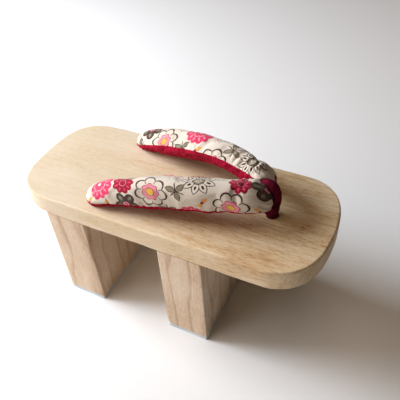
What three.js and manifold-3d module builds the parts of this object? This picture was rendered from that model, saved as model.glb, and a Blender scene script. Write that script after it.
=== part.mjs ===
// A wooden sandal on two high teeth, with a padded cloth strap. Millimetres, +X to the toe, +Z up.
import * as THREE from 'three';
import { mergeVertices } from 'three/addons/utils/BufferGeometryUtils.js';
import Module from 'manifold-3d';

const wasm = await Module();
wasm.setup();

// Board: a flat plank with straight sides and two full, rounded ends.
const boardLength = 240;
const boardWidth = 98;
const boardThickness = 16.5;
const boardTop = 107;
const heelEnd = { reach: 45, fullness: 3 };
const toeEnd = { reach: 38, fullness: 2.5 };
const endSteps = 20;
const boardEase = { radius: 1.2, steps: 2 };

// Teeth: two blocks as wide as the board, each on a thin rubber tread.
const toothLength = 34.5;
const rearToothBack = -88;
const frontToothBack = 9.5;
const toothEase = 0.7;
const wornCorner = 4;
const treadThickness = 3;

// Holes in the board, and how far a piece keeps from what it passes.
const rearHole = { x: -44, y: 34, radius: 5 };
const toeHole = { x: 76, y: 0, radius: 4.5 };
const clearance = 0.3;
const cutPast = 1;
const roundSteps = 24;

// Strap: one row for each section of the left arm, from its rear end to the middle of the fold.
// x and y place the seam line, up is its height over the board, width is from seam to seam,
// outer and inner are how far the printed and the velvet side bulge, and lean is how far the
// printed side is tipped up from facing sideways, in degrees.
const armRows = [
  { x: -53, y: 34.6, up: 4.2, width: 15, outer: 7, inner: 4, lean: 80 },
  { x: -44, y: 34.4, up: 5, width: 18.6, outer: 9, inner: 5.4, lean: 80 },
  { x: -32, y: 32.2, up: 9, width: 20.6, outer: 10.4, inner: 7, lean: 74 },
  { x: -16, y: 29.2, up: 12.8, width: 21.2, outer: 12.3, inner: 8, lean: 66 },
  { x: 2, y: 25.3, up: 16.4, width: 22.8, outer: 13, inner: 7.6, lean: 58 },
  { x: 20, y: 21.4, up: 19, width: 24, outer: 12.8, inner: 6.9, lean: 53 },
  { x: 36, y: 17.8, up: 20.1, width: 23.8, outer: 12.5, inner: 6.5, lean: 51 },
  { x: 50, y: 13.8, up: 20.1, width: 22.6, outer: 12, inner: 6.2, lean: 52 },
  { x: 61, y: 10.2, up: 20.8, width: 22.8, outer: 11.2, inner: 5.4, lean: 52 },
  { x: 66.8, y: 7.4, up: 21, width: 21.8, outer: 8.6, inner: 4.2, lean: 52 },
  { x: 71.2, y: 3.8, up: 19.6, width: 20.4, outer: 6.4, inner: 3, lean: 30 },
  { x: 71.7, y: -1.4, up: 16.8, width: 17, outer: 3, inner: 3, lean: 10 },
];
const armSteps = 34;
const armSides = 24;
const rearRound = 8;
const rearBlunt = 0.12;
const tailReach = 1.5;
const strapKnot = { radius: 7.4, height: 11 };

// Toe loop: a velvet cord round the fold of the strap. Each row is a point of its centre line.
const loopRows = [
  { x: 76.6, up: 4.2 },
  { x: 78.1, up: 11.5 },
  { x: 78.4, up: 19 },
  { x: 76.1, up: 25 },
  { x: 71.6, up: 27 },
  { x: 67.2, up: 23.5 },
  { x: 65.5, up: 17 },
  { x: 66.4, up: 9.8 },
  { x: 71, up: 4.6 },
];
const loopWidth = 7.6;
const loopThickness = 6.4;
const loopSteps = 36;
const loopSides = 14;
const loopFoot = { radius: 3.5, sink: 1 };
const loopKnot = { radius: 7, height: 10 };
const knotRings = 8;

// How far apart two places on a path lie that give its direction, in rows.
const pathStep = 0.02;
const sameWithin = 1e-4;

const woodMaterial = new THREE.MeshStandardMaterial({ color: 0xd8bc92, roughness: 0.62, metalness: 0 });
const rubberMaterial = new THREE.MeshStandardMaterial({ color: 0xa3b0b8, roughness: 0.85, metalness: 0 });
const clothMaterial = new THREE.MeshStandardMaterial({ color: 0xe9e1da, roughness: 0.9, metalness: 0 });
const velvetMaterial = new THREE.MeshStandardMaterial({ color: 0x5c0a24, roughness: 0.95, metalness: 0 });

function toSolid(geometry) {
  const bare = geometry.clone();
  bare.deleteAttribute('normal');
  bare.deleteAttribute('uv');
  const merged = mergeVertices(bare, sameWithin);
  const vertProperties = new Float32Array(merged.attributes.position.array);
  const triVerts = new Uint32Array(merged.index.array);
  return new wasm.Manifold(new wasm.Mesh({ numProp: 3, vertProperties, triVerts }));
}

function toMesh(name, solid, material) {
  const { numProp, vertProperties, triVerts } = solid.getMesh();
  const positions = new Float32Array((vertProperties.length / numProp) * 3);
  for (let i = 0; i < positions.length / 3; i += 1) {
    positions.set(vertProperties.subarray(i * numProp, i * numProp + 3), i * 3);
  }
  const geometry = new THREE.BufferGeometry();
  geometry.setAttribute('position', new THREE.BufferAttribute(positions, 3));
  geometry.setIndex(new THREE.BufferAttribute(new Uint32Array(triVerts), 1));
  geometry.computeVertexNormals();
  const mesh = new THREE.Mesh(geometry, material);
  mesh.name = name;
  return mesh;
}

// A closed skin over rings of equally many points, capped at both ends unless it runs round.
function skin(rings, runsRound = false) {
  const sides = rings[0].length;
  const points = rings.flat();
  const index = [];
  const spans = runsRound ? rings.length : rings.length - 1;
  for (let i = 0; i < spans; i += 1) {
    const here = i * sides;
    const next = ((i + 1) % rings.length) * sides;
    for (let j = 0; j < sides; j += 1) {
      const k = (j + 1) % sides;
      index.push(here + j, here + k, next + k, here + j, next + k, next + j);
    }
  }
  if (!runsRound) {
    for (const [ring, first, flip] of [[rings[0], 0, true], [rings.at(-1), points.length - sides, false]]) {
      const middle = ring.reduce((sum, p) => sum.add(p), new THREE.Vector3()).divideScalar(sides);
      points.push(middle);
      for (let j = 0; j < sides; j += 1) {
        const k = (j + 1) % sides;
        const pair = flip ? [first + k, first + j] : [first + j, first + k];
        index.push(points.length - 1, ...pair);
      }
    }
  }
  const geometry = new THREE.BufferGeometry().setFromPoints(points);
  geometry.setIndex(index);
  return geometry;
}

// Half width of the board at x, from full, superelliptic ends.
function boardHalfWidth(x) {
  const end = x > 0 ? toeEnd : heelEnd;
  const into = Math.max(0, Math.abs(x) - (boardLength / 2 - end.reach)) / end.reach;
  return (boardWidth / 2) * Math.max(0, 1 - into ** end.fullness) ** (1 / end.fullness);
}

// The outline, anticlockwise from above. Points crowd towards the tips, where it turns most.
function boardOutline(inset) {
  const half = [];
  for (let i = 0; i <= endSteps; i += 1) {
    const angle = (i / endSteps) * (Math.PI / 2);
    const along = boardLength / 2 - toeEnd.reach + toeEnd.reach * Math.cos(angle) ** (2 / toeEnd.fullness);
    half.push([along, (boardWidth / 2) * Math.sin(angle) ** (2 / toeEnd.fullness)]);
  }
  for (let i = endSteps; i >= 0; i -= 1) {
    const angle = (i / endSteps) * (Math.PI / 2);
    const along = boardLength / 2 - heelEnd.reach + heelEnd.reach * Math.cos(angle) ** (2 / heelEnd.fullness);
    half.push([-along, (boardWidth / 2) * Math.sin(angle) ** (2 / heelEnd.fullness)]);
  }
  const other = half.slice(1, -1).reverse().map(([x, y]) => [x, -y]);
  const shrinkX = 1 - inset / (boardLength / 2);
  const shrinkY = 1 - inset / (boardWidth / 2);
  return [...half, ...other].map(([x, y]) => [x * shrinkX, y * shrinkY]);
}

function boardBlank() {
  const rings = [];
  const addRing = (inset, z) => rings.push(boardOutline(inset).map(([x, y]) => new THREE.Vector3(x, y, z)));
  const { radius, steps } = boardEase;
  const bottom = boardTop - boardThickness;
  for (let i = 0; i <= steps; i += 1) {
    const angle = (i / steps) * (Math.PI / 2);
    addRing(radius * (1 - Math.sin(angle)), bottom + radius * (1 - Math.cos(angle)));
  }
  for (let i = steps; i >= 0; i -= 1) {
    const angle = (i / steps) * (Math.PI / 2);
    addRing(radius * (1 - Math.sin(angle)), boardTop - radius * (1 - Math.cos(angle)));
  }
  return toSolid(skin(rings));
}

function upright({ x, y }, radius, low, high, topRadius = radius) {
  const geometry = new THREE.CylinderGeometry(topRadius, radius, high - low, roundSteps);
  geometry.rotateX(Math.PI / 2);
  geometry.translate(x, y, (low + high) / 2);
  return toSolid(geometry);
}

function makeBoard() {
  const low = boardTop - boardThickness - cutPast;
  const high = boardTop + cutPast;
  let board = boardBlank();
  for (const hole of [rearHole, { ...rearHole, y: -rearHole.y }, toeHole]) {
    board = board.subtract(upright(hole, hole.radius, low, high));
  }
  return toMesh('board', board, woodMaterial);
}

// A block under the board, its sides following the board's own outline.
function toothOutline(back, ease) {
  const front = back + toothLength;
  const corners = [
    [back, ease], [back + ease, 0], [front - ease, 0], [front, ease],
  ];
  const right = corners.map(([x, inset]) => new THREE.Vector2(x, inset - boardHalfWidth(x)));
  const left = corners.map(([x, inset]) => new THREE.Vector2(x, boardHalfWidth(x) - inset)).reverse();
  return new THREE.Shape([...right, ...left]);
}

function block(back, ease, low, high) {
  const options = { depth: high - low, bevelEnabled: false };
  const geometry = new THREE.ExtrudeGeometry(toothOutline(back, ease), options);
  geometry.translate(0, 0, low);
  return toSolid(geometry);
}

// A cube whose one face cuts a block's corner, at the given reach along each of its edges.
function cornerCut(corner, reach) {
  const size = 4 * reach;
  const out = new THREE.Vector3(-1, -1, -1).normalize();
  const cube = new THREE.BoxGeometry(size, size, size);
  cube.applyQuaternion(new THREE.Quaternion().setFromUnitVectors(new THREE.Vector3(0, 0, 1), out));
  const centre = corner.clone().addScaledVector(out, size / 2 - reach / Math.sqrt(3));
  cube.translate(centre.x, centre.y, centre.z);
  return toSolid(cube);
}

function makeTooth(name, back, worn) {
  const bottom = boardTop - boardThickness;
  let tooth = block(back, toothEase, treadThickness, bottom);
  if (worn > 0) {
    tooth = tooth.subtract(cornerCut(new THREE.Vector3(back, -boardWidth / 2, treadThickness), worn));
  }
  return toMesh(name, tooth, woodMaterial);
}

function makeTread(name, back) {
  return toMesh(name, block(back, toothEase, 0, treadThickness), rubberMaterial);
}

// A value between rows, on a smooth curve through them.
function between(rows, key, place, runsRound = false) {
  const count = rows.length;
  const start = Math.min(Math.floor(place), runsRound ? count - 1 : count - 2);
  const part = place - start;
  const row = (n) => (runsRound ? rows[(n + count) % count] : rows[THREE.MathUtils.clamp(n, 0, count - 1)]);
  const [a, b, c, d] = [-1, 0, 1, 2].map((step) => row(start + step)[key]);
  const third = 3 * (b - c) + d - a;
  const second = 2 * a - 5 * b + 4 * c - d;
  return b + 0.5 * part * (c - a + part * (second + part * third));
}

function armCentre(place) {
  const z = boardTop + between(armRows, 'up', place);
  return new THREE.Vector3(between(armRows, 'x', place), between(armRows, 'y', place), z);
}

// One section of the left arm. The rear end is rounded, and the underside lies flat on the board.
function armRing(place) {
  const last = armRows.length - 1;
  const centre = armCentre(place);
  const behind = armCentre(Math.max(0, place - pathStep));
  const ahead = armCentre(Math.min(last, place + pathStep));
  const along = ahead.sub(behind).normalize();
  const outward = new THREE.Vector3(0, 0, 1).cross(along).normalize();
  const upward = along.clone().cross(outward);
  const lean = THREE.MathUtils.degToRad(between(armRows, 'lean', place));
  const face = outward.clone().multiplyScalar(Math.cos(lean)).addScaledVector(upward, Math.sin(lean));
  const across = outward.clone().multiplyScalar(-Math.sin(lean)).addScaledVector(upward, Math.cos(lean));
  const into = Math.min(1, (centre.x - armRows[0].x) / rearRound);
  const full = Math.max(rearBlunt, Math.sqrt(1 - (1 - into) ** 2));
  const ring = [];
  for (let j = 0; j < armSides; j += 1) {
    const angle = (j / armSides) * 2 * Math.PI;
    const bulge = between(armRows, Math.sin(angle) > 0 ? 'outer' : 'inner', place);
    const point = centre.clone();
    point.addScaledVector(across, (full * Math.cos(angle) * between(armRows, 'width', place)) / 2);
    point.addScaledVector(face, full * Math.sin(angle) * bulge);
    point.z = Math.max(point.z, boardTop + clearance);
    ring.push(point);
  }
  return ring;
}

// What goes down through a hole and ends in a knot under the board.
function makeTail(hole, top, { radius, height }) {
  const middle = boardTop - boardThickness - clearance - height / 2;
  const knot = new THREE.SphereGeometry(radius, roundSteps, knotRings);
  knot.rotateX(Math.PI / 2);
  knot.scale(1, 1, height / (2 * radius));
  knot.translate(hole.x, hole.y, middle);
  return upright(hole, hole.radius - clearance, middle, top).add(toSolid(knot));
}

function makeArm(side) {
  const rings = [];
  for (let i = 0; i <= armSteps; i += 1) {
    const place = (i / armSteps) * (armRows.length - 1);
    const ring = armRing(place);
    rings.push(side > 0 ? ring.reverse() : ring.map((p) => p.setY(-p.y)));
  }
  const ownHalf = new THREE.BoxGeometry(boardLength, boardWidth, 2 * boardTop);
  ownHalf.translate(0, (side * boardWidth) / 2, boardTop);
  const arm = toSolid(skin(rings)).intersect(toSolid(ownHalf));
  return arm.add(makeTail({ ...rearHole, y: side * rearHole.y }, boardTop + tailReach, strapKnot));
}

// The cord's ring lies upright in the middle plane. Grown, it is the room that the strap leaves it.
function loopRing(grown) {
  const rings = [];
  for (let i = 0; i < loopSteps; i += 1) {
    const place = (i / loopSteps) * loopRows.length;
    const point = (at) => {
      const turned = (at + loopRows.length) % loopRows.length;
      const z = boardTop + between(loopRows, 'up', turned, true);
      return new THREE.Vector3(between(loopRows, 'x', turned, true), 0, z);
    };
    const centre = point(place);
    const along = point(place + pathStep).sub(point(place - pathStep)).normalize();
    const outward = new THREE.Vector3(0, 1, 0).cross(along);
    const ring = [];
    for (let j = 0; j < loopSides; j += 1) {
      const angle = (j / loopSides) * 2 * Math.PI;
      const p = centre.clone().addScaledVector(outward, (Math.cos(angle) * (loopThickness + 2 * grown)) / 2);
      p.y += (Math.sin(angle) * (loopWidth + 2 * grown)) / 2;
      ring.push(p);
    }
    rings.push(ring);
  }
  return toSolid(skin(rings, true));
}

function largest(solid) {
  return solid.decompose().sort((a, b) => b.volume() - a.volume())[0];
}

function makeStrap() {
  const arms = makeArm(1).add(makeArm(-1));
  return toMesh('strap', largest(arms.subtract(loopRing(clearance))), clothMaterial);
}

function makeToeLoop() {
  const sunk = boardTop - loopFoot.sink;
  const tail = makeTail(toeHole, sunk, loopKnot);
  const high = boardTop + loopRows[0].up;
  const foot = upright(toeHole, toeHole.radius - clearance, sunk, high, loopFoot.radius);
  return toMesh('toe_loop', loopRing(0).add(tail).add(foot), velvetMaterial);
}

const geta = new THREE.Group();
geta.add(makeBoard());
geta.add(makeTooth('rear_tooth', rearToothBack, 0));
geta.add(makeTooth('front_tooth', frontToothBack, wornCorner));
geta.add(makeTread('rear_tread', rearToothBack));
geta.add(makeTread('front_tread', frontToothBack));
geta.add(makeStrap());
geta.add(makeToeLoop());

export default geta;
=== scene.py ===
# A wooden sandal on two high teeth, with a padded, printed strap and a velvet toe loop.
# Lengths are in millimetres, and mm turns them into metres. +X runs to the toe, +Z up.
import math
import bmesh
import bpy
import numpy as np
from mathutils import Matrix, Vector


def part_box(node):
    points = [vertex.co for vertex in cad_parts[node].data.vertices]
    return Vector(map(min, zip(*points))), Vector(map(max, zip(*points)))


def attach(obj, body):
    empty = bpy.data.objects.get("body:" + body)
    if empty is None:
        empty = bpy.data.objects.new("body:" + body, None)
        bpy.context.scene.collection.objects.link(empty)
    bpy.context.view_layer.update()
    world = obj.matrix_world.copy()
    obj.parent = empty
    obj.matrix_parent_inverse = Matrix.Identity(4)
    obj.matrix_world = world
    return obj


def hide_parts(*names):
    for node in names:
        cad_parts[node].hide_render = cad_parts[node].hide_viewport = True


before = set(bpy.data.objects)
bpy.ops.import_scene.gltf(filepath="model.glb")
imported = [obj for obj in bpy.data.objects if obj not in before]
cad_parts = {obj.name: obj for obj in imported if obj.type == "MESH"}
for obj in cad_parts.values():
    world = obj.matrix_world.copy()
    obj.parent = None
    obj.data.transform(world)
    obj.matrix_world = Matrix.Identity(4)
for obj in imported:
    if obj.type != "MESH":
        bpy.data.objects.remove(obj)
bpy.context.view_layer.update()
mm = 0.001
body = "root"
boardBox = [np.array(corner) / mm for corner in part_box("board")]
boardUnder, boardTop = boardBox[0][2], boardBox[1][2]
clearance = 0.3  # what pieces keep from each other


# Shader nodes

class Value:
    # Wraps a socket. Sums with it add Math nodes.
    def __init__(self, finish, socket):
        self.finish = finish
        self.socket = socket

    def math(self, operation, *others):
        return self.finish.node("Math", {"operation": operation}, dict(enumerate((self, *others))))

    def mathAfter(self, operation, other):  # this socket second
        return self.finish.node("Math", {"operation": operation}, {0: other, 1: self})

    def __add__(self, other):
        return self.math("ADD", other)

    def __sub__(self, other):
        return self.math("SUBTRACT", other)

    def __rsub__(self, other):
        return self.mathAfter("SUBTRACT", other)

    def __mul__(self, other):
        return self.math("MULTIPLY", other)

    def __truediv__(self, other):
        return self.math("DIVIDE", other)

    def __rtruediv__(self, other):
        return self.mathAfter("DIVIDE", other)

    def __pow__(self, other):
        return self.math("POWER", other)

    def __rpow__(self, other):
        return self.mathAfter("POWER", other)

    def __abs__(self):
        return self.math("ABSOLUTE")

    __radd__ = __add__
    __rmul__ = __mul__


class Finish:
    # One material. node makes any node: its settings are set first, then its sockets.
    def __init__(self, name, **constants):
        self.material = bpy.data.materials.new(name)
        self.material.use_nodes = True
        self.tree = self.material.node_tree
        self.shader = self.tree.nodes["Principled BSDF"]
        for socket, value in constants.items():
            self.shader.inputs[socket.replace("_", " ")].default_value = value

    def node(self, kind, settings=None, values=None, out=0):
        made = self.tree.nodes.new("ShaderNode" + kind)
        for name, value in (settings or {}).items():
            if name == "stops":
                for extra in value[2:]:
                    made.color_ramp.elements.new(extra[0])
                for element, (position, colour) in zip(made.color_ramp.elements, value):
                    element.position, element.color = position, colour
            else:
                setattr(made, name, value)
        for name, value in (values or {}).items():
            if isinstance(value, Value):
                self.tree.links.new(value.socket, made.inputs[name])
            else:
                made.inputs[name].default_value = value
        return Value(self, made.outputs[out])

    def vector(self, operation, values, out=0):
        return self.node("VectorMath", {"operation": operation}, values, out)

    def split(self, place):
        return [self.node("SeparateXYZ", None, {0: place}, axis) for axis in range(3)]

    def join(self, *values):
        return self.node("CombineXYZ", None, dict(enumerate(values)))

    def mixColour(self, share, below, above, blend="MIX"):
        settings = {"data_type": "RGBA", "blend_type": blend}
        return self.node("Mix", settings, {0: share, 6: below, 7: above}, 2)

    def mixPlace(self, share, first, second):
        return self.node("Mix", {"data_type": "VECTOR"}, {0: share, 4: first, 5: second}, 1)

    def turned(self, place, degrees):  # about the origin, in the plane of x and y
        values = {"Vector": place, "Angle": math.radians(degrees)}
        return self.node("VectorRotate", {"rotation_type": "Z_AXIS"}, values)

    def fade(self, value, start, end):  # 0 at start, 1 at end
        settings = {"interpolation_type": "SMOOTHSTEP"}
        return self.node("MapRange", settings, {"Value": value, "From Min": start, "From Max": end})

    def noise(self, place, scale=1.0, detail=2.0, roughness=0.5, out=0):
        values = {"Vector": place, "Scale": scale, "Detail": detail, "Roughness": roughness}
        return self.node("TexNoise", None, values, out)

    def ramp(self, value, *stops):
        return self.node("ValToRGB", {"stops": stops}, {0: value})

    def places(self):  # object coordinates in millimetres
        return self.vector("SCALE", {0: self.node("TexCoord", None, None, 3), 3: 1 / mm})

    def show(self, colour=None, roughness=None, height=None, depth=1.0, strength=1.0):
        if colour is not None:
            self.tree.links.new(colour.socket, self.shader.inputs["Base Color"])
        if roughness is not None:
            self.tree.links.new(roughness.socket, self.shader.inputs["Roughness"])
        if height is not None:
            values = {"Height": height, "Distance": depth * mm, "Strength": strength}
            bump = self.node("Bump", None, values)
            self.tree.links.new(bump.socket, self.shader.inputs["Normal"])


def colourOf(red, green, blue):  # a screen colour, 0 to 255, as Blender's linear one
    shares = [value / 255 for value in (red, green, blue)]
    linear = [((c + 0.055) / 1.055) ** 2.4 if c > 0.04 else c / 12.92 for c in shares]
    return (*linear, 1.0)


# Meshes

def makeMesh(name, points, faces, finishes, smoothTo=40):
    mesh = bpy.data.meshes.new(name)
    mesh.from_pydata((np.asarray(points) * mm).tolist(), [], faces)
    for finish in finishes:
        mesh.materials.append(finish.material)
    piece = bpy.data.objects.new(name, mesh)
    bpy.context.scene.collection.objects.link(piece)
    tidyMesh(piece, smoothTo)
    return piece


def tidyMesh(piece, smoothTo=40):  # faces outwards, and edges under smoothTo degrees smooth
    sheet = bmesh.new()
    sheet.from_mesh(piece.data)
    bmesh.ops.recalc_face_normals(sheet, faces=sheet.faces)
    sheet.to_mesh(piece.data)
    sheet.free()
    piece.data.shade_smooth()
    piece.data.set_sharp_from_angle(angle=math.radians(smoothTo))


def applyModifiers(piece):
    graph = bpy.context.evaluated_depsgraph_get()
    settled = bpy.data.meshes.new_from_object(piece.evaluated_get(graph))
    piece.modifiers.clear()
    piece.data = settled


def cut(piece, *cutters):  # the cutters are used up
    for cutter in cutters:
        boolean = piece.modifiers.new("cut", "BOOLEAN")
        boolean.operation = "DIFFERENCE"
        boolean.object = cutter
    applyModifiers(piece)
    for cutter in cutters:
        bpy.data.objects.remove(cutter)


def loftFaces(rings, sides, runsRound=False, capped=True):
    faces = []
    for i in range(rings if runsRound else rings - 1):
        here, ahead = i * sides, (i + 1) % rings * sides
        for j in range(sides):
            k = (j + 1) % sides
            faces.append((here + j, here + k, ahead + k, ahead + j))
    if capped and not runsRound:
        faces += [tuple(reversed(range(sides))), tuple(range((rings - 1) * sides, rings * sides))]
    return faces


def loft(name, rings, finishes, smoothTo=40, runsRound=False):
    rings = np.asarray(rings)
    faces = loftFaces(len(rings), rings.shape[1], runsRound)
    return makeMesh(name, rings.reshape(-1, 3), faces, finishes, smoothTo)


def between(rows, place, runsRound=False):  # values between the rows, on a smooth curve
    rows, place = np.asarray(rows, float), np.asarray(place, float)
    last = len(rows) - 1 if runsRound else len(rows) - 2
    start = np.clip(np.floor(place).astype(int), 0, last)
    part = (place - start)[..., None]
    turned = [start + step for step in (-1, 0, 1, 2)]
    turned = [n % len(rows) if runsRound else np.clip(n, 0, len(rows) - 1) for n in turned]
    a, b, c, d = (rows[n] for n in turned)
    return b + 0.5 * part * (c - a + part * (2 * a - 5 * b + 4 * c - d + part * (3 * (b - c) + d - a)))


def unit(vectors):
    return vectors / np.linalg.norm(vectors, axis=-1, keepdims=True)


def ripple(place, waves):  # a slow unevenness of about plus or minus 1, with nothing random in it
    total = sum(np.sin(place[..., 0] * x + place[..., 1] * y + place[..., 2] * z + turn)
                for x, y, z, turn in waves)
    return total / len(waves) ** 0.5


# Camera

view = {
    "place": (156.34, -241.46, 356.3), "azimuth": 29.47, "elevation": 42.66, "roll": -4.44,
    "lens": 46.09, "sensor": 36.0,
}


def makeCamera():
    around, above, roll = (math.radians(view[key]) for key in ("azimuth", "elevation", "roll"))
    level = math.cos(above)
    back = Vector((math.sin(around) * level, -math.cos(around) * level, math.sin(above)))
    right = Vector((math.cos(around), math.sin(around), 0))
    up = back.cross(right)
    rolledRight = right * math.cos(roll) + up * math.sin(roll)
    rolledUp = up * math.cos(roll) - right * math.sin(roll)
    lens = bpy.data.cameras.new("camera")
    lens.lens, lens.sensor_width = view["lens"], view["sensor"]
    camera = bpy.data.objects.new("camera", lens)
    turn = Matrix((rolledRight, rolledUp, back)).transposed().to_4x4()
    camera.matrix_world = Matrix.Translation(Vector(view["place"]) * mm) @ turn
    bpy.context.scene.collection.objects.link(camera)
    bpy.context.scene.camera = camera


makeCamera()
print("camera placed")


# Wood. heart is where the tree's middle lies, across the grain and in depth. contrast and shade
# are given for the heel and for the toe, where the grain shows more. shade moves the tone along the foot:
# partly the wood's own browner toe, and partly painted light and shade, the heel made paler and the toe
# darker as the light falls off from the heel towards the toe.

boardGrain = {
    "pale": (226, 210, 186), "warm": (215, 190, 152), "brown": (188, 144, 98), "pore": (140, 90, 52),
    "heart": (250, -30), "ring": 5.2, "ringDepth": 0.07, "bend": 16, "poreShare": 0.42,
    # shade is partly painted light and shade: a paler heel and a darker toe
    "contrast": (0.6, 1.5), "shade": (-0.09, 0.07),
}
toothGrain = {
    "pale": (224, 205, 182), "warm": (208, 183, 155), "brown": (168, 130, 98), "pore": (138, 102, 76),
    "heart": (190, -230), "ring": 10.5, "ringDepth": 0.16, "bend": 16, "poreShare": 0.3,
    "contrast": (1.0, 1.2), "shade": (0.0, 0.0),
}
# What the woods share. middle is the tone that contrast leaves as it is. heel and toe are where the
# change along the foot starts and ends.
wood = {
    "marks": {  # their length in mm, how many lie across a mm, and the noise's detail and roughness
        "bend": (90, 1 / 22, 2, 0.5), "fibre": (5, 1.1, 3, 0.65), "streak": (24, 1 / 1.3, 4, 0.6),
        "cloud": (40, 1 / 16, 2, 0.5), "fleck": (4, 0.95, 2, 0.5),
    },
    "fibre": 0.46, "streak": 0.26, "cloud": 0.41, "middle": 0.56, "heel": -80, "toe": 70,
    "pale": 0.4, "warm": 0.62, "brown": 0.92,
}


def makeWood(name, grain, isUpright):
    f = Finish(name, Specular_IOR_Level=0.3)
    x, y, z = f.split(f.places())
    along, across, deep = (z, y, x) if isUpright else (x, y, z)

    def marks(kind):
        length, count, detail, roughness = wood["marks"][kind]
        place = f.join(along / length, across * count, deep * count)
        return f.noise(place, detail=detail, roughness=roughness)

    heartAcross, heartDeep = grain["heart"]
    toHeart = ((across - heartAcross) ** 2 + (deep - heartDeep) ** 2) ** 0.5
    ring = ((toHeart + (marks("bend") - 0.5) * grain["bend"]) / grain["ring"]).math("FRACT")
    late = f.fade(ring, 0.66, 0.92) * f.fade(ring, 1.0, 0.96)  # dark at each ring's end
    fibre, streak, cloud = marks("fibre"), marks("streak"), marks("cloud")
    flecks = f.fade(marks("fleck"), 0.58, 0.74) * f.fade(streak * 0.6 + cloud * 1.4, 0.88, 1.14)
    tone = fibre * wood["fibre"] + streak * wood["streak"] + cloud * wood["cloud"]
    tone = tone + late * grain["ringDepth"]
    # painted light and shade, in part: the tone is made paler at the heel and darker at the toe, for the
    # light falling off towards the toe
    toeward = f.fade(x, wood["heel"], wood["toe"])
    (heelContrast, toeContrast), (heelPaintedLightAndTone, toePaintedShadeAndTone) = grain["contrast"], grain["shade"]
    contrast = toeward * (toeContrast - heelContrast) + heelContrast
    shade = toeward * (toePaintedShadeAndTone - heelPaintedLightAndTone) + (wood["middle"] + heelPaintedLightAndTone)
    tone = (tone - wood["middle"]) * contrast + shade
    stops = [(wood[tint], colourOf(*grain[tint])) for tint in ("pale", "warm", "brown")]
    colour = f.ramp(tone, *stops)
    colour = f.mixColour(flecks * contrast * grain["poreShare"], colour, colourOf(*grain["pore"]))
    roughness = 0.46 + fibre * 0.2
    height = fibre * 0.35 + streak * 0.25 - flecks * 0.4
    f.show(colour, roughness, height, depth=0.12, strength=0.7)
    return f


boardWood = makeWood("board_wood", boardGrain, False)
toothWood = makeWood("tooth_wood", toothGrain, True)

# grain and cloud are how many marks lie across a mm.
rubber = {"dark": (192, 205, 214), "light": (212, 223, 230), "grain": 1.6, "cloud": 0.08}


def makeRubber():
    f = Finish("tread_rubber", Specular_IOR_Level=0.3)
    place = f.places()
    grain = f.noise(place, rubber["grain"])
    cloud = f.noise(place, rubber["cloud"])
    colour = f.ramp(cloud, (0.3, colourOf(*rubber["dark"])), (0.7, colourOf(*rubber["light"])))
    f.show(colour, 0.7 + grain * 0.25, grain, depth=0.15)
    return f


treadRubber = makeRubber()
print("wood and rubber made")


# Board

board = {
    "heelEnd": (45, 3), "toeEnd": (38, 2.5),  # reach of the curve, and how full it is
    "endSteps": 44, "sideStep": 9, "edge": 1.35, "edgeSteps": 5, "unevenEdge": 0.3, "rim": 1.2,
    "holes": {"rearLeft": (-44, 34, 5), "rearRight": (-44, -34, 5), "toe": (76, 0, 4.5)},
}
# Waves of the hand-sanded edge: turns in radians for each mm of x, y and z, and where each starts.
edgeWaves = [(0.11, 0.07, 0.3, 0.4), (0.23, -0.13, 0.1, 2.1), (0.047, 0.19, 0.2, 4.4), (0.4, 0.31, 0, 1.2)]


def boardHalfWidth(x):
    reach, fullness = board["toeEnd"] if x > 0 else board["heelEnd"]
    length, width = boardBox[1][0], boardBox[1][1]
    into = max(0, abs(x) - (length - reach)) / reach
    return width * max(0, 1 - into ** fullness) ** (1 / fullness)


def boardOutline():  # anticlockwise from above, from the toe's tip
    length, width = boardBox[1][0], boardBox[1][1]
    half = []
    for sign, (reach, fullness) in ((1, board["toeEnd"]), (-1, board["heelEnd"])):
        end = []
        for i in range(board["endSteps"] + 1):
            angle = i / board["endSteps"] * math.pi / 2
            reached = length - reach + reach * math.cos(angle) ** (2 / fullness)
            end.append((sign * reached, width * math.sin(angle) ** (2 / fullness)))
        if sign > 0:
            half += end
            steps = int((end[-1][0] + length - board["heelEnd"][0]) / board["sideStep"])
            side = np.linspace(end[-1][0], board["heelEnd"][0] - length, steps)[1:-1]
            half += [(x, width) for x in side]
        else:
            half += end[::-1]
    other = [(x, -y) for x, y in half[1:-1]][::-1]
    return np.array(half + other)


def insetOutline(outline, inset):
    ahead, behind = np.roll(outline, -1, 0), np.roll(outline, 1, 0)
    run = unit(ahead - behind)
    outward = np.stack([run[:, 1], -run[:, 0]], 1)
    return outline - outward * inset[:, None]


def slab(outline, low, high, edge, steps, rim):  # rings of a flat piece with rounded edges
    level = np.zeros(len(outline))
    turns = np.linspace(0, math.pi / 2, steps + 1)
    profile = [(edge + rim, level)]  # inset from the outline and depth from the face, out to the side
    profile += [(edge * (1 - math.sin(turn)), edge * (1 - math.cos(turn))) for turn in turns]
    profile += [(level, edge + rim)]
    under = [np.column_stack([insetOutline(outline, inset), low + depth]) for inset, depth in profile]
    over = [np.column_stack([insetOutline(outline, inset), high - depth]) for inset, depth in profile[::-1]]
    return under + over


def upright(x, y, radius, low, high, sides=48):
    turns = np.linspace(0, 2 * math.pi, sides, endpoint=False)
    circle = np.stack([x + radius * np.cos(turns), y + radius * np.sin(turns)], 1)
    rings = [np.column_stack([circle, np.full(sides, z)]) for z in (low, high)]
    return loft("cutter", rings, [])


def makeBoard():
    outline = boardOutline()
    spots = np.column_stack([outline, np.zeros(len(outline))])
    edge = board["edge"] + board["unevenEdge"] * ripple(spots, edgeWaves)
    rings = slab(outline, boardUnder, boardTop, edge, board["edgeSteps"], board["rim"])
    piece = loft("footboard", rings, [boardWood])
    past = 2  # how far the drill runs out
    cut(piece, *[upright(*hole, boardUnder - past, boardTop + past) for hole in board["holes"].values()])
    tidyMesh(piece)
    return piece


# Teeth and treads

tooth = {
    "corner": 0.8, "cornerSteps": 4, "edge": 0.5, "edgeSteps": 3, "rim": 0.25, "sideStep": 4,
    "wornReach": 4, "tread": {"edge": 0.35, "rim": 0.3},
}


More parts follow.
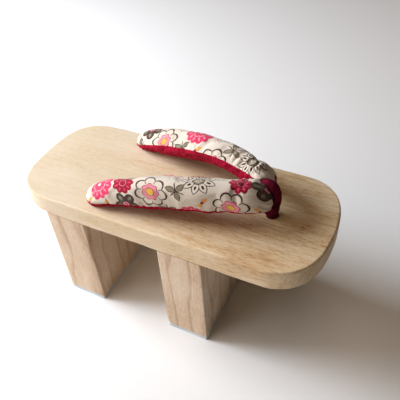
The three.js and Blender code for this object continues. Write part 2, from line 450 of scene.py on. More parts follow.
def toothOutline(low, high):  # a block whose sides follow the board's outline
    corner, steps = tooth["corner"], tooth["cornerSteps"]
    turns = np.linspace(0, math.pi / 2, steps + 1)
    eased = [(corner * (1 - math.sin(turn)), corner * (1 - math.cos(turn))) for turn in turns]
    side = np.arange(high - corner - tooth["sideStep"], low + corner, -tooth["sideStep"])
    points = [(high - y, boardHalfWidth(high) - x) for x, y in eased]
    points += [(x, boardHalfWidth(x)) for x in side]
    points += [(low + y, boardHalfWidth(low) - x) for x, y in eased[::-1]]
    return np.array(points + [(x, -y) for x, y in points[::-1]])


def makeTooth(name, worn):
    low, high = (np.array(corner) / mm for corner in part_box(name))
    outline = toothOutline(low[0], high[0])
    even = np.full(len(outline), tooth["edge"])
    piece = loft(name + "_block", slab(outline, low[2], high[2], even, tooth["edgeSteps"], tooth["rim"]),
                 [toothWood])
    if worn:  # a turned block takes off the lowest near corner at the back
        reach = tooth["wornReach"]
        size = 4 * reach
        bpy.ops.mesh.primitive_cube_add(size=size * mm)
        cutter = bpy.context.object
        out = Vector((-1, -1, -1)).normalized()
        cutter.rotation_euler = Vector((0, 0, 1)).rotation_difference(out).to_euler()
        cutter.location = (Vector(low) + out * (size / 2 - reach / 3 ** 0.5)) * mm
        bpy.context.view_layer.update()
        cut(piece, cutter)
        tidyMesh(piece)
    return piece


def makeTread(name):
    low, high = (np.array(corner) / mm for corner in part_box(name))
    outline = toothOutline(low[0], high[0])
    even = np.full(len(outline), tooth["tread"]["edge"])
    rings = slab(outline, low[2], high[2], even, tooth["edgeSteps"], tooth["tread"]["rim"])
    return loft(name + "_sheet", rings, [treadRubber])


def dress(piece, node):
    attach(piece, body)
    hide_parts(node)


dress(makeBoard(), "board")
for name, worn in (("rear_tooth", False), ("front_tooth", True)):
    dress(makeTooth(name, worn), name)
for name in ("rear_tread", "front_tread"):
    dress(makeTread(name), name)
print("board, teeth and treads made")


# Printed cotton. Each motif is a stack of layers in its own unit circle, lowest first.

inks = {
    "ground": (228, 217, 203), "pink": (224, 62, 104), "rose": (238, 146, 164), "crimson": (164, 18, 50),
    "brown": (66, 40, 34), "taupe": (144, 136, 114), "smoke": (84, 70, 58), "sun": (236, 184, 78),
}
printTile = {"length": 142, "width": 92, "bias": 9, "seed": 7, "tries": 900, "soft": 0.03}
# count is round the motif's middle, reach runs to a petal's middle, and length and width are halves.
motifs = {
    "sprig": [
        {"form": "leaf", "count": 3, "reach": 0.5, "length": 0.48, "width": 0.24, "ink": "taupe",
         "rim": 0.3, "rimInk": "brown"},
        {"form": "petals", "count": 3, "turn": 180, "reach": 0.42, "length": 0.36, "width": 0.05,
         "ink": "brown"},
    ],
    "bud": [
        {"form": "leaf", "count": 2, "turn": 25, "reach": 0.55, "length": 0.46, "width": 0.26,
         "ink": "sun", "rim": 0.2, "rimInk": "pink"},
        {"form": "disc", "reach": 0.24, "ink": "crimson"},
    ],
    "berries": [
        {"form": "petals", "count": 3, "reach": 0.6, "length": 0.27, "width": 0.27, "ink": "ground",
         "rim": 0.22, "rimInk": "smoke"},
        {"form": "disc", "reach": 0.2, "ink": "pink"},
    ],
    "daisy": [
        {"form": "leaf", "count": 9, "reach": 0.6, "length": 0.4, "width": 0.2, "ink": "ground",
         "rim": 0.3, "rimInk": "smoke"},
        {"form": "petals", "count": 9, "reach": 0.6, "length": 0.13, "width": 0.065, "ink": "brown"},
        {"form": "disc", "reach": 0.34, "ink": "taupe", "rim": 0.2, "rimInk": "smoke"},
        {"form": "petals", "count": 5, "reach": 0.14, "length": 0.05, "width": 0.05, "ink": "ground"},
    ],
    "darkBloom": [
        {"form": "petals", "count": 5, "reach": 0.58, "length": 0.42, "width": 0.34, "ink": "smoke",
         "rim": 0.28, "rimInk": "brown"},
        {"form": "leaf", "count": 5, "reach": 0.66, "length": 0.2, "width": 0.12, "ink": "taupe"},
        {"form": "disc", "reach": 0.27, "ink": "rose", "rim": 0.2, "rimInk": "brown"},
        {"form": "petals", "count": 4, "reach": 0.1, "length": 0.05, "width": 0.05, "ink": "crimson"},
    ],
    "lineBloom": [
        {"form": "scallop", "count": 7, "reach": 0.74, "depth": 0.22, "ink": "ground", "rim": 0.12,
         "rimInk": "brown"},
        {"form": "petals", "count": 7, "turn": 180 / 7, "reach": 0.66, "length": 0.16, "width": 0.035,
         "ink": "taupe"},
        {"form": "scallop", "count": 7, "reach": 0.42, "depth": 0.1, "ink": "rose", "rim": 0.08,
         "rimInk": "crimson"},
        {"form": "disc", "reach": 0.24, "ink": "sun", "rim": 0.12, "rimInk": "brown"},
    ],
    "rosette": [
        {"form": "scallop", "count": 12, "reach": 0.86, "depth": 0.14, "ink": "pink"},
        {"form": "leaf", "count": 12, "reach": 0.66, "length": 0.16, "width": 0.06, "ink": "rose"},
        {"form": "scallop", "count": 8, "reach": 0.4, "depth": 0.08, "ink": "pink", "rim": 0.07,
         "rimInk": "ground"},
        {"form": "disc", "reach": 0.15, "ink": "ground", "rim": 0.25, "rimInk": "smoke"},
    ],
    "deepRosette": [
        {"form": "scallop", "count": 9, "reach": 0.82, "depth": 0.18, "ink": "crimson"},
        {"form": "petals", "count": 9, "reach": 0.62, "length": 0.17, "width": 0.09, "ink": "pink"},
        {"form": "disc", "reach": 0.3, "ink": "crimson", "rim": 0.16, "rimInk": "rose"},
    ],
}
# How many of each motif lie in a tile of the print, and their half size, largest first.
printCounts = [
    ("lineBloom", 4, 11.8), ("rosette", 4, 11.3), ("daisy", 4, 11.2), ("darkBloom", 6, 8.8),
    ("deepRosette", 4, 8.0), ("sprig", 7, 7.4), ("bud", 11, 5.0), ("berries", 10, 4.3),
]


def placeMotifs():  # each motif goes to the free spot that it fits best, with the tile's edges joined
    chance = np.random.default_rng(printTile["seed"])
    tile = np.array((printTile["length"], printTile["width"]))
    rows = []
    for kind, count, size in printCounts:
        for _ in range(count):
            spots = chance.random((printTile["tries"], 2)) * tile
            room = np.full(len(spots), tile[0])
            for other, x, y, reach, _ in rows:
                off = np.abs(spots - (x, y))
                gap = np.linalg.norm(np.minimum(off, tile - off), axis=1) - reach - size
                room = np.minimum(room, gap - (size if other == kind else 0))
            x, y = spots[np.argmax(room)]
            rows.append((kind, float(x), float(y), size, float(chance.random() * 360)))
    return rows


def nearestMotif(f, place, rows):  # where the nearest motif's own circle lies, in its own units
    half = (printTile["length"] / 2, printTile["width"] / 2, 1.0)
    best = None
    for _, x, y, size, turn in rows:
        away = f.vector("SUBTRACT", {0: place, 1: (x, y, 0.0)})
        away = f.vector("WRAP", {0: away, 1: half, 2: tuple(-side for side in half)})
        away = f.vector("SCALE", {0: away, 3: 1 / size})
        away = f.turned(away, turn)
        length = f.vector("LENGTH", {0: away}, 1)
        if best is None:
            best, far = away, length
        else:
            nearer = length.math("LESS_THAN", far)
            best = f.mixPlace(nearer, best, away)
            far = far.math("MINIMUM", length)
    return best, far


def layerEdge(layer, angle, radius):  # under 1 inside the layer's shape
    if layer["form"] == "disc":
        return radius / layer["reach"]
    count, turn = layer["count"], math.radians(layer.get("turn", 0))
    if layer["form"] == "scallop":
        wave = abs((angle * (count / 2) + turn).math("COSINE"))
        return radius / (layer["reach"] + wave * layer["depth"])
    sector = (angle + turn).math("WRAP", math.pi / count, -math.pi / count)
    forward = (radius * sector.math("COSINE") - layer["reach"]) / layer["length"]
    aside = radius * sector.math("SINE") / layer["width"]
    if layer["form"] == "leaf":
        return forward ** 2 + abs(aside)
    return (forward ** 2 + aside ** 2) ** 0.5


weave = {
    "thread": 0.5, "slubLength": 5, "slubCount": 2.2, "dark": (226, 222, 216), "share": 0.55,
    "wander": 0.7,  # how far the print's lines stray, in mm
}


def makePrintedCotton():
    f = Finish("strap_print", Roughness=0.9, Specular_IOR_Level=0.2, Sheen_Weight=0.15)
    cloth = f.node("UVMap", {"uv_map": "cloth"})
    cloth = f.vector("SCALE", {0: cloth, 3: 1 / mm})
    wander = f.vector("SUBTRACT", {0: f.noise(cloth, 0.5, out=1), 1: (0.5, 0.5, 0.5)})
    wander = f.vector("SCALE", {0: wander, 3: weave["wander"]})
    place = f.turned(f.vector("ADD", {0: cloth, 1: wander}), printTile["bias"])
    colour, soft = colourOf(*inks["ground"]), printTile["soft"]
    rows = placeMotifs()
    for kind, layers in motifs.items():
        nearest, radius = nearestMotif(f, place, [row for row in rows if row[0] == kind])
        x, y, _ = f.split(nearest)
        angle = y.math("ARCTAN2", x)
        for layer in layers:
            edge = layerEdge(layer, angle, radius)
            colour = f.mixColour(f.fade(edge, 1 + soft, 1 - soft), colour, colourOf(*inks[layer["ink"]]))
            if "rim" in layer:
                half = layer["rim"] / 2
                line = f.fade(abs(edge - 1), half + soft, half - soft)
                colour = f.mixColour(line, colour, colourOf(*inks[layer["rimInk"]]))
    u, v, _ = f.split(cloth)
    turn = 2 * math.pi / weave["thread"]
    warp, weft = ((side * turn).math("SINE") for side in (u, v))
    length, count = weave["slubLength"], weave["slubCount"]
    slub = f.noise(f.join(u / length, v * count, 0.0))
    crossSlub = f.noise(f.join(u * count, v / length, 4.0))
    thread = warp * weft * 0.5 + slub + crossSlub
    shade = f.ramp(thread * 0.5, (0.2, colourOf(*weave["dark"])), (0.8, colourOf(255, 255, 255)))
    colour = f.mixColour(weave["share"], colour, shade, "MULTIPLY")
    f.show(colour, None, thread, depth=0.1, strength=0.6)
    return f


# Velvet and cord, darkest first. brushed, pile and strand are how many marks lie across a mm.
velvet = {
    "strap": ((104, 4, 26), (150, 10, 40), (188, 26, 66)),
    "loop": ((44, 2, 16), (84, 6, 30), (140, 18, 58)),
    "brushed": 0.16, "pile": 3.2,
}
cord = {"colours": ((196, 184, 164), (232, 224, 208)), "strand": 1.4}


def makeVelvet(name, deep, middle, bright):
    f = Finish(name, Roughness=1.0, Specular_IOR_Level=0.15, Sheen_Weight=0.5, Sheen_Roughness=0.35,
               Sheen_Tint=colourOf(*bright))
    place = f.places()
    brushed = f.noise(place, velvet["brushed"], 3, 0.6)
    pile = f.noise(place, velvet["pile"])
    tone = brushed * 0.7 + pile * 0.3
    colour = f.ramp(tone, (0.3, colourOf(*deep)), (0.52, colourOf(*middle)), (0.74, colourOf(*bright)))
    f.show(colour, None, pile + brushed, depth=0.25, strength=0.6)
    return f


def makeTailCord():
    f = Finish("tail_cord", Roughness=0.9, Specular_IOR_Level=0.2)
    strand = f.noise(f.places(), cord["strand"], 3, 0.6)
    dark, light = cord["colours"]
    colour = f.ramp(strand, (0.3, colourOf(*dark)), (0.7, colourOf(*light)))
    f.show(colour, None, strand, depth=0.3)
    return f


printedCotton = makePrintedCotton()
strapVelvet = makeVelvet("strap_velvet", *velvet["strap"])
loopVelvet = makeVelvet("loop_velvet", *velvet["loop"])
tailCord = makeTailCord()
print("cloth finishes made")


# Strap. One row for each section of the left arm, from its rear end to just past the fold's middle.
# up is over the board, outer and inner are how far the printed and the velvet side bulge, and lean
# is how far the printed side is tipped up from facing sideways, in degrees.

armColumns = ("x", "y", "up", "width", "outer", "inner", "lean")
armRows = [
    (-53, 34.6, 4.2, 15, 7, 4, 80),
    (-44, 34.4, 5, 18.6, 9, 5.4, 80),
    (-32, 32.2, 9, 20.6, 10.4, 7, 74),
    (-16, 29.2, 12.8, 21.2, 12.3, 8, 66),
    (2, 25.3, 16.4, 22.8, 13, 7.6, 58),
    (20, 21.4, 19, 24, 12.8, 6.9, 53),
    (36, 17.8, 20.1, 23.8, 12.5, 6.5, 51),
    (50, 13.8, 20.1, 22.6, 12, 6.2, 52),
    (61, 10.2, 20.2, 23.8, 11.2, 5.4, 52),
    (66.8, 7.4, 20.2, 23.4, 8.6, 4.2, 52),
    (71.2, 3.8, 18.8, 22, 6.4, 3, 30),
    (71.7, -1.4, 16.4, 18, 3, 3, 10),
]
strap = {
    "seams": {"left": (15, 41), "right": (12, 41)},  # the sides between which the printed cloth lies
    "endRound": 8, "endTip": 0.02, "endRings": 9, "ringStep": 1.15, "sides": 56,
    "pathStep": 0.02, "pathPlaces": 4000,
    # The cloth while it is blown up. cap is how far it may move. The holds are how firmly the seams
    # and the rest are kept. What is past foldFrom, near the rear end or near the board stays still.
    "growth": 0.03, "pressure": 4.0, "frames": 18, "cap": 1.2, "clothQuality": 6, "clothMass": 0.2,
    "clothStretch": 18, "clothBending": 0.4, "clothPin": 2.0, "seamHold": 0.5, "restHold": 0.02,
    "foldFrom": 62, "nearEnd": 3, "nearBoard": 1,
    # What the sewing does. puckerWaves are a quick and a slow wave for each seam. A crease has lips
    # whose height and place are given against its depth and width.
    "plumpness": 0.3, "seamDepth": 0.6, "seamWidth": 1.1,
    "puckerDepth": 0.28, "puckerStep": 3.7, "puckerReach": 3.2, "puckerDrift": 1.7,
    "puckerWaves": ((1.0, 0.1147), (0.83, 0.1581)),
    "endPleats": 11, "endPleatDepth": 0.45, "endPleatReach": 9,
    "foldPleatStep": 4.4, "foldPleatDepth": 0.35, "foldPleatReach": 14,
    "lipHeight": 0.45, "lipPlace": 1.9,
}
plumpWaves = [
    (0.09, 0.11, 0.21, 0.3), (0.17, -0.2, 0.12, 1.9), (0.31, 0.14, -0.3, 4.0), (0.05, 0.33, 0.4, 5.2),
]
# Creases in each arm's cloth: the distance from the rear end, the distance from the print's middle
# towards the outer seam, the turn in degrees from straight across, the length, width and depth.
creases = {
    "left": [
        (97, -11, 12, 7, 1.2, 0.6), (102, -9, -8, 9, 1.3, 0.9), (107, -12, 16, 6, 1.2, 0.8),
        (112, -7, -16, 9, 1.4, 1.0), (118, -10, 10, 8, 1.4, 1.0), (124, -5, -20, 10, 1.7, 1.1),
        (60, -13, 8, 5, 1.6, 0.4), (74, -13, -10, 5, 1.6, 0.5), (118, 15, 5, 6, 1.8, 0.6),
        (88, 19, 14, 5, 1.8, 0.5), (106, 19, -12, 5, 1.8, 0.5), (131, 0, 0, 16, 5, 2.4),
    ],
    "right": [
        (113, -14, 14, 4, 1.4, 0.4), (120, -13, -14, 5, 1.5, 0.6), (127, -10, 20, 6, 1.6, 0.7),
        (132, -4, -8, 6, 1.6, 0.5), (100, -15, -10, 4, 1.4, 0.3), (129, 10, 18, 6, 1.8, 0.4),
        (30, 15, 10, 5, 1.8, 0.4), (66, 16, -12, 6, 1.9, 0.4), (98, 17, 12, 6, 1.9, 0.5),
    ],
}
# Toe loop: a velvet cord round the fold, in the middle plane. Each row is x and height over the board.
# The cloth is laid round it at so many contacts. foldReach is how far from the fold's middle the
# cloth goes into the ring, and from where on it goes sideways.
loopRows = [
    (76.6, 4.2), (78.1, 11.5), (78.4, 19), (76.1, 25), (71.6, 27), (67.2, 23.5), (65.5, 17), (66.4, 9.8),
    (72.2, 4.5),
]
loop = {
    "width": 7.6, "thickness": 6.4, "rings": 120, "sides": 32, "voxel": 0.42, "softening": 6,
    "foot": 3.6, "footFlare": 0.6, "flareHeight": 5, "footRings": 6, "stemRings": 12,
    "pleats": 9, "pleatDepth": 0.22, "unevenness": 0.09, "unevenScale": 3.1,
    "contacts": 360, "foldReach": (2, 5),
}


def armSections(places):  # rings of the left arm at these places, from the velvet's middle round
    def rowsAt(at):
        return between(armRows, np.clip(at, 0, len(armRows) - 1))

    rows = rowsAt(places)
    middle = rows[:, :3] + (0, 0, boardTop)
    width, outer, inner, lean = (rows[:, armColumns.index(name)] for name in armColumns[3:])
    along = unit(rowsAt(places + strap["pathStep"])[:, :3] - rowsAt(places - strap["pathStep"])[:, :3])
    outward = unit(np.cross((0, 0, 1), along))
    upward = np.cross(along, outward)
    lean = np.radians(lean)[:, None]
    face = outward * np.cos(lean) + upward * np.sin(lean)
    across = upward * np.cos(lean) - outward * np.sin(lean)
    into = np.minimum(1, (middle[:, 0] - armRows[0][0]) / strap["endRound"])
    full = np.sqrt(np.maximum(strap["endTip"] ** 2, 1 - (1 - into) ** 2))
    turns = np.linspace(-math.pi / 2, 1.5 * math.pi, strap["sides"], endpoint=False)
    cosine, sine = np.cos(turns)[None], np.sin(turns)[None]
    bulge = np.where(sine > 0, outer[:, None], inner[:, None])
    rings = middle[:, None] + across[:, None] * (full * width / 2)[:, None, None] * cosine[..., None]
    return rings + face[:, None] * (full[:, None] * bulge * sine)[..., None]


def armPlaces():  # places along the left arm, closer together round its rear end
    spread = np.linspace(0, len(armRows) - 1, strap["pathPlaces"])
    rows = between(armRows, spread)
    last = np.argmax(rows[:, 1] < 0)  # the fold's middle
    spread, rows = spread[:last + 1], rows[:last + 1]
    steps = np.linalg.norm(np.diff(rows[:, :3], axis=0), axis=1)
    run = np.concatenate([[0], np.cumsum(steps)])
    turns = np.linspace(0, math.pi / 2, strap["endRings"], endpoint=False)
    ends = strap["endRound"] * (1 - np.cos(turns))
    rest = np.linspace(strap["endRound"], run[-1], int((run[-1] - strap["endRound"]) / strap["ringStep"]))
    wanted = np.concatenate([ends, rest])
    return np.interp(wanted, run, spread), wanted


def strapShape():  # rings of the whole strap, and the cloth's own coordinates along and across it
    places, run = armPlaces()
    left = armSections(places)
    right = left[-2::-1] * (1, -1, 1)
    rings = np.concatenate([left, right])
    along = np.concatenate([run, 2 * run[-1] - run[-2::-1]])
    closed = np.concatenate([rings, rings[:, :1]], 1)
    steps = np.linalg.norm(np.diff(closed, axis=1), axis=2)
    girth = np.concatenate([np.zeros((len(rings), 1)), np.cumsum(steps, 1)], 1)
    printMiddle = girth[:, strap["sides"] // 2][:, None]
    return rings, along, girth - printMiddle


def seamSides(count):  # the side of each ring that the inner and the outer seam run along
    isLeft = np.arange(count) < count / 2
    pairs = zip(strap["seams"]["left"], strap["seams"]["right"])
    return [np.where(isLeft, left, right) for left, right in pairs]


def makeStrapMesh():
    rings, along, aside = strapShape()
    count, sides = rings.shape[:2]
    faces = loftFaces(count, sides)
    piece = makeMesh("strap_cover", rings.reshape(-1, 3), faces, [printedCotton, strapVelvet], 80)
    cloth = piece.data.uv_layers.new(name="cloth")
    seamIn, seamOut = seamSides(count)
    for polygon in piece.data.polygons:
        ringIds = [v // sides for v in polygon.vertices]
        sideIds = [v % sides for v in polygon.vertices]
        if len(sideIds) == 4:  # not the cap of an end
            if max(sideIds) - min(sideIds) > sides / 2:
                sideIds = [s or sides for s in sideIds]  # the last strip closes the ring
            ring = min(ringIds)
            polygon.material_index = 0 if seamIn[ring] <= min(sideIds) < seamOut[ring] else 1
        for corner, ring, side in zip(polygon.loop_indices, ringIds, sideIds):
            cloth.data[corner].uv = (along[ring] * mm, aside[ring, side] * mm)
    return piece


def readRows(rows, key):
    values = np.empty(len(rows) * 3, np.float32)
    rows.foreach_get(key, values)
    return values.reshape(-1, 3).astype(float)


def readPoints(piece):
    return readRows(piece.data.vertices, "co") / mm


def writePoints(piece, points):
    piece.data.vertices.foreach_set("co", (points * mm).astype(np.float32).ravel())
    piece.data.update()


def swell(piece):  # the cloth is a little larger than its seams and is blown up like padding
    start = readPoints(piece)
    sides = strap["sides"]
    hold = piece.vertex_groups.new(name="hold")
    side = np.arange(len(start)) % sides
    seamIn, seamOut = (np.repeat(seam, sides) for seam in seamSides(len(start) // sides))
    weights = np.where((side == seamIn) | (side == seamOut), strap["seamHold"], strap["restHold"])
    x, z = start[:, 0], start[:, 2]
    isEnd = (x > strap["foldFrom"]) | (x < armRows[0][0] + strap["nearEnd"])
    weights[isEnd | (z < boardTop + strap["nearBoard"])] = 1.0
    for weight in np.unique(weights):
        hold.add(np.flatnonzero(weights == weight).tolist(), float(weight), "REPLACE")
    cloth = piece.modifiers.new("cloth", "CLOTH")
    settings = cloth.settings
    settings.quality = strap["clothQuality"]
    settings.mass = strap["clothMass"]
    settings.tension_stiffness = settings.compression_stiffness = strap["clothStretch"]
    settings.bending_stiffness = strap["clothBending"]
    settings.use_pressure = True
    settings.uniform_pressure_force = strap["pressure"]
    settings.shrink_min = -strap["growth"]
    settings.vertex_group_mass = "hold"
    settings.pin_stiffness = strap["clothPin"]
    settings.effector_weights.gravity = 0
    for step in range(1, strap["frames"] + 1):
        bpy.context.scene.frame_set(step)
    applyModifiers(piece)
    bpy.context.scene.frame_set(1)
    moved = readPoints(piece) - start
    reach = np.linalg.norm(moved, axis=1, keepdims=True)
    writePoints(piece, start + moved * np.minimum(1, strap["cap"] / np.maximum(reach, 1e-6)))
    print("strap padded, cloth moved by up to", round(float(reach.max()), 2), "mm")


def loopPath(count):  # places round the loop's ring, and which way is out of the ring there
    rows = between(loopRows, np.arange(count) / count * len(loopRows), True)
    centres = np.stack([rows[:, 0], np.zeros(count), rows[:, 1] + boardTop], 1)
    run = unit(np.roll(centres, -1, 0) - np.roll(centres, 1, 0))
    return centres, np.cross((0, 1, 0), run)


def keepOut(distance, radius):  # distances pushed softly past the radius
    sharpness = 6
    return (distance ** sharpness + radius ** sharpness) ** (1 / sharpness)


def wrapLoop(points, fromEnd, half, ownSide):  # cloth inside the loop's cord moves out to its surface
    centres, outward = loopPath(loop["contacts"])
    nearest = np.argmin(np.linalg.norm(points[:, None] - centres, axis=2), 1)
    away, outward = points - centres[nearest], outward[nearest]
    deep, wide = loop["thickness"] / 2 + clearance, loop["width"] / 2 + clearance
    out, side = np.sum(away * outward, 1) / deep, away[:, 1] / wide
    # the fold moves into the ring, and the arms move sideways round it
    start, end = loop["foldReach"]
    aside = np.clip((half - fromEnd - start) / (end - start), 0, 1)
    push = unit(np.stack([aside - 1, ownSide * aside], 1))
    slope = out * push[:, 0] + side * push[:, 1]
    inside = 1 - out ** 2 - side ** 2
    reach = np.where(inside > 0, np.sqrt(np.maximum(slope ** 2 + inside, 0)) - slope, 0)
    points += outward * (reach * push[:, 0] * deep)[:, None]
    points[:, 1] += reach * push[:, 1] * wide


def bell(distance, width):  # 1 at the middle and almost nothing at twice the width
    return np.exp(-(distance / width) ** 2)


def seamLift(along, aside, seams):  # a trough along each seam, with puckers beside it
    lift = np.zeros(len(aside))
    phase = along * 2 * math.pi / strap["puckerStep"]
    for seam, (quick, slow) in zip(seams, strap["puckerWaves"]):
        off = np.abs(aside - seam)
        lift -= strap["seamDepth"] * bell(off, strap["seamWidth"])
        pucker = np.sin(phase * quick + strap["puckerDrift"] * np.sin(phase * slow))
        lift += strap["puckerDepth"] * pucker * np.exp(-off / strap["puckerReach"])
    return lift


def pleatLift(fromEnd, half, aside):  # the cloth is gathered at its ends and in the fold
    turn = np.arange(len(aside)) % strap["sides"] / strap["sides"] * 2 * math.pi
    ends = bell(fromEnd, strap["endPleatReach"]) * np.sin(strap["endPleats"] * turn)
    across = aside * 2 * math.pi / strap["foldPleatStep"]
    fold = bell(half - fromEnd, strap["foldPleatReach"]) * np.sin(across)
    return strap["endPleatDepth"] * ends + strap["foldPleatDepth"] * fold


def creaseLift(fromEnd, aside, isOnArm):  # troughs with a raised lip along both sides
    lift = np.zeros(len(aside))
    for arm, rows in creases.items():
        for at, off, turn, length, width, depth in rows:
            turn = math.radians(turn)
            forward, sideways = fromEnd - at, aside - off
            across = np.abs(forward * math.cos(turn) + sideways * math.sin(turn))
            down = sideways * math.cos(turn) - forward * math.sin(turn)
            lip = bell(across - strap["lipPlace"] * width, width)
            trough = (bell(across, width) - strap["lipHeight"] * lip) * bell(down, length)
            lift -= isOnArm[arm] * depth * trough
    return lift


def shapeCloth(piece):  # what the sewing does, then what the cloth is pressed against
    points = readPoints(piece)
    normals = readRows(piece.data.vertex_normals, "vector")
    rings, along, aside = strapShape()
    count, sides = rings.shape[:2]
    half = along[-1] / 2
    seams = [np.repeat(aside[np.arange(count), seam], sides) for seam in seamSides(count)]
    along, aside = np.repeat(along, sides), aside[:, :sides].ravel()
    isLeft, fromEnd = along < half, np.minimum(along, 2 * half - along)
    lift = strap["plumpness"] * ripple(points, plumpWaves) + seamLift(along, aside, seams)
    lift += pleatLift(fromEnd, half, aside)
    lift += creaseLift(fromEnd, aside, {"left": isLeft, "right": ~isLeft})
    points += normals * lift[:, None]
    ownSide = np.where(isLeft, 1, -1)
    wrapLoop(points, fromEnd, half, ownSide)
    apart = keepOut(np.maximum(points[:, 1] * ownSide, 0), clearance) * ownSide
    isMiddle = fromEnd > half - strap["ringStep"] / 2
    points[:, 1] = np.where(isMiddle, points[:, 1], apart)
    points[:, 2] = boardTop + keepOut(np.maximum(points[:, 2] - boardTop, 0), clearance)
    writePoints(piece, points)


def makeStrap():
    piece = makeStrapMesh()
    swell(piece)
    shapeCloth(piece)
    piece.modifiers.new("finer", "SUBSURF").levels = 1
    applyModifiers(piece)
    piece.data.shade_smooth()
    return piece


# Toe loop, tails and knots

tailEnd = boardUnder - 5  # inside the knots


def tube(path, radius, sides, runsRound=False):  # rings round a path that never runs straight up
    ahead, behind = np.roll(path, -1, 0), np.roll(path, 1, 0)
    run = ahead - behind
    if not runsRound:
        run[0], run[-1] = path[1] - path[0], path[-1] - path[-2]
    run = unit(run)
    aside = unit(np.cross(run, (0, 0, 1)))
    over = np.cross(run, aside)
    turns = np.linspace(0, 2 * math.pi, sides, endpoint=False)
    radius = np.broadcast_to(radius, len(path))[:, None, None]
    ring = aside[:, None] * np.cos(turns)[None, :, None] + over[:, None] * np.sin(turns)[None, :, None]
    return path[:, None] + ring * radius


# upright rings, one for each row of height and radius
def stack(x, y, rows, sides, lobes=0, lobeDepth=0.0, twist=0.0):
    turns = np.linspace(0, 2 * math.pi, sides, endpoint=False)
    rings = []
    for z, radius in rows:
        reach = radius * (1 + lobeDepth * np.cos(lobes * turns + twist * z))
        rings.append(np.stack([x + reach * np.cos(turns), y + reach * np.sin(turns), np.full(sides, z)], 1))
    return np.array(rings)


def joinRings(name, parts, finishes):  # parts: rings and whether they run round
    points, faces = [], []
    for rings, runsRound in parts:
        count, sides = rings.shape[:2]
        faces += [tuple(v + len(points) for v in face) for face in loftFaces(count, sides, runsRound)]
        points += rings.reshape(-1, 3).tolist()
    return makeMesh(name, points, faces, finishes, 60)


def makeToeLoop():
    centres, outward = loopPath(loop["rings"])
    turns = np.linspace(0, 2 * math.pi, loop["sides"], endpoint=False)
    ring = outward[:, None] * np.cos(turns)[None, :, None] * loop["thickness"] / 2
    ring = ring + np.array((0, 1, 0)) * np.sin(turns)[None, :, None] * loop["width"] / 2
    x, y, hole = board["holes"]["toe"]
    rows = [(z, hole - clearance) for z in np.linspace(tailEnd, boardTop - 1, loop["stemRings"])]
    for up in np.linspace(clearance, loop["flareHeight"], loop["footRings"]):
        flare = loop["footFlare"] * (1 - up / loop["flareHeight"]) ** 2
        rows.append((boardTop + up, loop["foot"] + flare))
    parts = [(centres[:, None] + ring, True), (stack(x, y, rows, loop["sides"]), False)]
    piece = joinRings("toe_loop_cord", parts, [loopVelvet])
    remesh = piece.modifiers.new("one skin", "REMESH")
    remesh.mode = "VOXEL"
    remesh.voxel_size = loop["voxel"] * mm
    piece.modifiers.new("soften", "SMOOTH").iterations = loop["softening"]
    applyModifiers(piece)
    points = readPoints(piece)
    normals = readRows(piece.data.vertex_normals, "vector")
    turn = np.arctan2(points[:, 1] - y, points[:, 0] - x)
    foot = bell(np.maximum(points[:, 2] - boardTop, 0), loop["flareHeight"])
    foot *= points[:, 2] > boardTop - clearance
    lift = loop["pleatDepth"] * foot * np.sin(loop["pleats"] * turn)
    lift += loop["unevenness"] * ripple(points * loop["unevenScale"], plumpWaves)
    writePoints(piece, points + normals * lift[:, None])
    piece.data.shade_smooth()
    return piece


# cord is a radius, drop is down from the board, and end is the run of the cord's short end.
knot = {
    "spread": 1.55, "cord": 1.95, "rise": 1.9, "drop": 5.6, "rings": 90, "sides": 16,
    "end": (7, 2.45, -2.5), "endRings": 10, "endWidening": 0.25,
}
# The cloth tails in the rear holes, gathered into lobes that twist.
tail = {"slack": 0.3, "rings": 40, "sides": 36, "lobes": 3, "lobeDepth": 0.06, "twist": 0.55}


def knotParts(x, y):  # an overhand knot pulled tight under the board, with a short end
    turns = np.linspace(0, 2 * math.pi, knot["rings"], endpoint=False)
    spread, middle = knot["spread"], boardUnder - clearance - knot["drop"]
    path = np.stack([
        x + spread * (np.sin(turns) + 2 * np.sin(2 * turns)),
        y + spread * (np.cos(turns) - 2 * np.cos(2 * turns)),
        middle - knot["rise"] * np.sin(3 * turns)], 1)
    out = np.linspace(0, 1, knot["endRings"])
    end = np.array([x + spread * 1.5, y, middle]) + out[:, None] * np.array(knot["end"])
    radius = knot["cord"] * (1 + knot["endWidening"] * out ** 2)
    knotted = tube(path, knot["cord"], knot["sides"], True)
    return [(knotted, True), (tube(end, radius, knot["sides"]), False)]


def makeStrapKnots():
    parts = []
    for place in ("rearLeft", "rearRight"):
        x, y, hole = board["holes"][place]
        parts += knotParts(x, y)
        radius = hole - clearance - tail["slack"]
        rows = [(z, radius) for z in np.linspace(tailEnd, boardTop, tail["rings"])]
        rings = stack(x, y, rows, tail["sides"], tail["lobes"], tail["lobeDepth"], tail["twist"])
        parts.append((rings, False))
    return joinRings("strap_knots", parts, [tailCord])


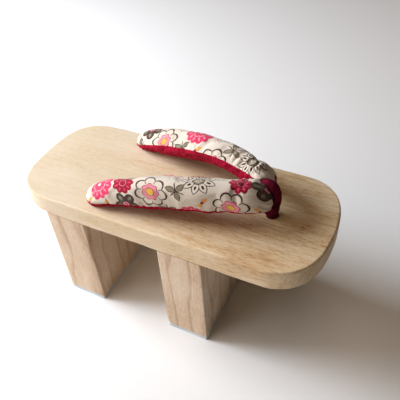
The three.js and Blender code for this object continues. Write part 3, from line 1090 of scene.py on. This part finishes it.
def makeToeKnot():
    x, y, _ = board["holes"]["toe"]
    return joinRings("toe_loop_knot", knotParts(x, y), [loopVelvet])


strapPiece = makeStrap()
dress(strapPiece, "strap")
dress(makeStrapKnots(), "strap")
dress(makeToeLoop(), "toe_loop")
dress(makeToeKnot(), "toe_loop")
print("strap and toe loop made,", len(strapPiece.data.vertices), "points in the strap")


# Floor and lights

studio = {
    "floor": (244, 244, 244), "floorReach": 6000, "centre": (0, 0, 60),
    "world": (1, 0.75, 0.5, 1), "worldStrength": 0.02,
    # name: the direction that it comes from, its height in degrees, distance, size, power and colour
    "lights": {
        "window": (-172, 34, 1000, 560, 14.9, (0.96, 1.01, 1.08)),
        "side": (-134, 20, 1600, 1500, 14.2, (1.0, 0.87, 0.78)),
        "ceiling": (0, 90, 2600, 1700, 8.2, (1.0, 0.74, 0.5)),
    },
}


def makeStudio():
    side = studio["floorReach"]
    floorFinish = Finish("floor_paper", Roughness=0.9, Specular_IOR_Level=0.1,
                         Base_Color=colourOf(*studio["floor"]))
    corners = [(-side, -side, 0), (side, -side, 0), (side, side, 0), (-side, side, 0)]
    floor = makeMesh("floor", corners, [(0, 1, 2, 3)], [floorFinish])
    for name, (around, above, distance, size, power, colour) in studio["lights"].items():
        around, above = math.radians(around), math.radians(above)
        level = math.cos(above)
        towards = Vector((math.cos(around) * level, math.sin(around) * level, math.sin(above)))
        lamp = bpy.data.lights.new(name, "AREA")
        lamp.shape, lamp.size, lamp.energy, lamp.color = "DISK", size * mm, power, colour
        light = bpy.data.objects.new(name, lamp)
        light.location = (Vector(studio["centre"]) + towards * distance) * mm
        light.rotation_euler = towards.to_track_quat("Z", "Y").to_euler()
        bpy.context.scene.collection.objects.link(light)
    world = bpy.data.worlds.new("studio")
    world.use_nodes = True
    background = world.node_tree.nodes["Background"]
    background.inputs["Color"].default_value = studio["world"]
    background.inputs["Strength"].default_value = studio["worldStrength"]
    bpy.context.scene.world = world
    bpy.context.scene.view_settings.view_transform = "Standard"


makeStudio()
print("studio lit")
